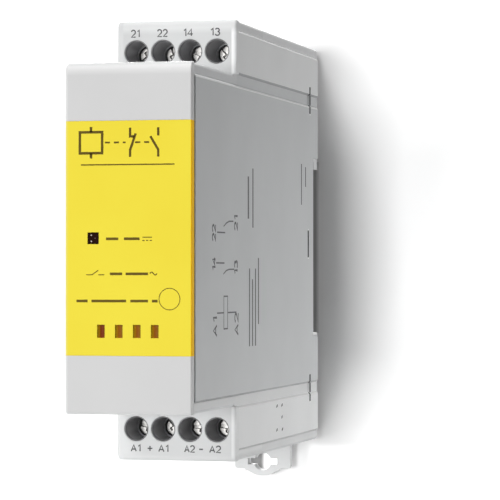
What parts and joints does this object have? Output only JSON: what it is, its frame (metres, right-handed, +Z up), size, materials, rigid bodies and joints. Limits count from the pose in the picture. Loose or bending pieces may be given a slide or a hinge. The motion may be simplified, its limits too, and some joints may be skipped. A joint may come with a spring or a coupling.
{
  "type": "force-guided relay",
  "caption": "Narrow rail-mounted safety relay module with a yellow front plate, screw clamp terminals above and below and a sprung rail clip.",
  "frame": {"origin": "middle of the rail seat, on the centre line of the 35 mm rail", "axes": "+Z up along the terminals, +Y from the front to the rail, +X to the right seen from the front"},
  "size_m": [0.0226, 0.1, 0.0879],
  "materials": {
    "housing_grey": "satin moulded thermoplastic",
    "face_yellow": "satin moulded thermoplastic",
    "window_dark": "tinted, polished",
    "carrier_black": "moulded, fine grain",
    "screw_steel": "nickel plated",
    "cage_steel": "zinc plated",
    "tongue_brass": "tinned",
    "board_green": "glass-fibre laminate with solder mask",
    "relay_grey": "moulded",
    "relay_clear": "moulded",
    "bobbin_white": "moulded",
    "winding_copper": "enamelled copper",
    "iron_dark": "plated soft iron",
    "spring_bronze": "rolled strip",
    "contact_silver": "silver alloy",
    "led_body": "moulded",
    "capacitor_sleeve": "shrunk sleeve",
    "resistor_body": "lacquered",
    "diode_body": "moulded",
    "spring_steel": "drawn wire"
  },
  "bodies": {
    "housing": {"circuit_board": "board_green", "clamp_tongue_13": "tongue_brass", "clamp_tongue_14": "tongue_brass", "clamp_tongue_21": "tongue_brass", "clamp_tongue_22": "tongue_brass", "clamp_tongue_a1_left": "tongue_brass", "clamp_tongue_a1_right": "tongue_brass", "clamp_tongue_a2_left": "tongue_brass", "clamp_tongue_a2_right": "tongue_brass", "clip_spring": "spring_steel", "coil_bobbin": "bobbin_white", "coil_core": "iron_dark", "coil_winding": "winding_copper", "face_plate": "face_yellow", "front_cover": "housing_grey", "housing_shell": "housing_grey", "indicator_led": "led_body", "led_lens": "window_dark", "lower_terminal_block": "housing_grey", "lower_terminal_carrier": "carrier_black", "nc_fixed_blade": "spring_bronze", "nc_fixed_contact": "contact_silver", "no_fixed_blade": "spring_bronze", "no_fixed_contact": "contact_silver", "relay_base": "relay_grey", "relay_cover": "relay_clear", "relay_pins": "tongue_brass", "series_resistor": "resistor_body", "side_cover": "housing_grey", "smoothing_capacitor": "capacitor_sleeve", "spring_stop": "housing_grey", "suppressor_diode": "diode_body", "upper_terminal_block": "housing_grey", "upper_terminal_carrier": "carrier_black", "yoke": "iron_dark"},
    "clip": {"rail_clip": "housing_grey"},
    "armature": {"armature": "iron_dark"},
    "card": {"actuator_card": "bobbin_white"},
    "no_blade": {"no_moving_blade": "spring_bronze", "no_moving_contact": "contact_silver"},
    "nc_blade": {"nc_moving_blade": "spring_bronze", "nc_moving_contact": "contact_silver"},
    "screw_21": {"clamp_screw_21": "screw_steel"},
    "cage_21": {"clamp_cage_21": "cage_steel"},
    "screw_22": {"clamp_screw_22": "screw_steel"},
    "cage_22": {"clamp_cage_22": "cage_steel"},
    "screw_14": {"clamp_screw_14": "screw_steel"},
    "cage_14": {"clamp_cage_14": "cage_steel"},
    "screw_13": {"clamp_screw_13": "screw_steel"},
    "cage_13": {"clamp_cage_13": "cage_steel"},
    "screw_a1_left": {"clamp_screw_a1_left": "screw_steel"},
    "cage_a1_left": {"clamp_cage_a1_left": "cage_steel"},
    "screw_a1_right": {"clamp_screw_a1_right": "screw_steel"},
    "cage_a1_right": {"clamp_cage_a1_right": "cage_steel"},
    "screw_a2_left": {"clamp_screw_a2_left": "screw_steel"},
    "cage_a2_left": {"clamp_cage_a2_left": "cage_steel"},
    "screw_a2_right": {"clamp_screw_a2_right": "screw_steel"},
    "cage_a2_right": {"clamp_cage_a2_right": "cage_steel"}
  },
  "joints": [
    {"name": "clip_slide", "type": "slide", "parent": "housing", "child": "clip", "axis": [0, 0, -1], "range_m": [0, 0.004], "stiffness_N_per_m": 2000, "springref_m": -0.002, "deforming": ["clip_spring"]},
    {"name": "armature_pull", "type": "hinge", "parent": "housing", "child": "armature", "pos_m": [0.0012, -0.0274, 0.01265], "axis": [1, 0, 0], "range_deg": [0, 4.5], "stiffness_Nm_per_rad": 0.05, "springref_deg": -5.73},
    {"name": "card_push", "type": "slide", "parent": "housing", "child": "card", "axis": [0, 1, 0], "range_m": [0, 0.00094248]},
    {"name": "no_blade_flex", "type": "hinge", "parent": "housing", "child": "no_blade", "pos_m": [-0.0065, -0.022, 0.0036], "axis": [0, 0, 1], "range_deg": [0, 5.35]},
    {"name": "nc_blade_flex", "type": "hinge", "parent": "housing", "child": "nc_blade", "pos_m": [-0.0065, -0.022, -0.0069], "axis": [0, 0, 1], "range_deg": [0, 5.35]},
    {"name": "screw_turn_21", "type": "hinge", "parent": "housing", "child": "screw_21", "pos_m": [-0.00762, -0.0566, 0.035], "axis": [0, 1, 0], "range_deg": [0, 1800.18]},
    {"name": "cage_lift_21", "type": "slide", "parent": "housing", "child": "cage_21", "axis": [0, -1, 0], "range_m": [0, 0.0025]},
    {"name": "screw_turn_22", "type": "hinge", "parent": "housing", "child": "screw_22", "pos_m": [-0.00254, -0.0566, 0.035], "axis": [0, 1, 0], "range_deg": [0, 1800.18]},
    {"name": "cage_lift_22", "type": "slide", "parent": "housing", "child": "cage_22", "axis": [0, -1, 0], "range_m": [0, 0.0025]},
    {"name": "screw_turn_14", "type": "hinge", "parent": "housing", "child": "screw_14", "pos_m": [0.00254, -0.0566, 0.035], "axis": [0, 1, 0], "range_deg": [0, 1800.18]},
    {"name": "cage_lift_14", "type": "slide", "parent": "housing", "child": "cage_14", "axis": [0, -1, 0], "range_m": [0, 0.0025]},
    {"name": "screw_turn_13", "type": "hinge", "parent": "housing", "child": "screw_13", "pos_m": [0.00762, -0.0566, 0.035], "axis": [0, 1, 0], "range_deg": [0, 1800.18]},
    {"name": "cage_lift_13", "type": "slide", "parent": "housing", "child": "cage_13", "axis": [0, -1, 0], "range_m": [0, 0.0025]},
    {"name": "screw_turn_a1_left", "type": "hinge", "parent": "housing", "child": "screw_a1_left", "pos_m": [-0.00762, -0.0566, -0.0338], "axis": [0, 1, 0], "range_deg": [0, 1800.18]},
    {"name": "cage_lift_a1_left", "type": "slide", "parent": "housing", "child": "cage_a1_left", "axis": [0, -1, 0], "range_m": [0, 0.0025]},
    {"name": "screw_turn_a1_right", "type": "hinge", "parent": "housing", "child": "screw_a1_right", "pos_m": [-0.00254, -0.0566, -0.0338], "axis": [0, 1, 0], "range_deg": [0, 1800.18]},
    {"name": "cage_lift_a1_right", "type": "slide", "parent": "housing", "child": "cage_a1_right", "axis": [0, -1, 0], "range_m": [0, 0.0025]},
    {"name": "screw_turn_a2_left", "type": "hinge", "parent": "housing", "child": "screw_a2_left", "pos_m": [0.00254, -0.0566, -0.0338], "axis": [0, 1, 0], "range_deg": [0, 1800.18]},
    {"name": "cage_lift_a2_left", "type": "slide", "parent": "housing", "child": "cage_a2_left", "axis": [0, -1, 0], "range_m": [0, 0.0025]},
    {"name": "screw_turn_a2_right", "type": "hinge", "parent": "housing", "child": "screw_a2_right", "pos_m": [0.00762, -0.0566, -0.0338], "axis": [0, 1, 0], "range_deg": [0, 1800.18]},
    {"name": "cage_lift_a2_right", "type": "slide", "parent": "housing", "child": "cage_a2_right", "axis": [0, -1, 0], "range_m": [0, 0.0025]}
  ],
  "couplings": [
    {"joint": "armature_pull", "follows": "card_push", "rad_per_m": 83.333},
    {"joint": "no_blade_flex", "follows": "card_push", "rad_per_m": 99.01},
    {"joint": "nc_blade_flex", "follows": "card_push", "rad_per_m": 99.01},
    {"joint": "screw_turn_21", "follows": "cage_lift_21", "rad_per_m": 12566},
    {"joint": "screw_turn_22", "follows": "cage_lift_22", "rad_per_m": 12566},
    {"joint": "screw_turn_14", "follows": "cage_lift_14", "rad_per_m": 12566},
    {"joint": "screw_turn_13", "follows": "cage_lift_13", "rad_per_m": 12566},
    {"joint": "screw_turn_a1_left", "follows": "cage_lift_a1_left", "rad_per_m": 12566},
    {"joint": "screw_turn_a1_right", "follows": "cage_lift_a1_right", "rad_per_m": 12566},
    {"joint": "screw_turn_a2_left", "follows": "cage_lift_a2_left", "rad_per_m": 12566},
    {"joint": "screw_turn_a2_right", "follows": "cage_lift_a2_right", "rad_per_m": 12566}
  ]
}
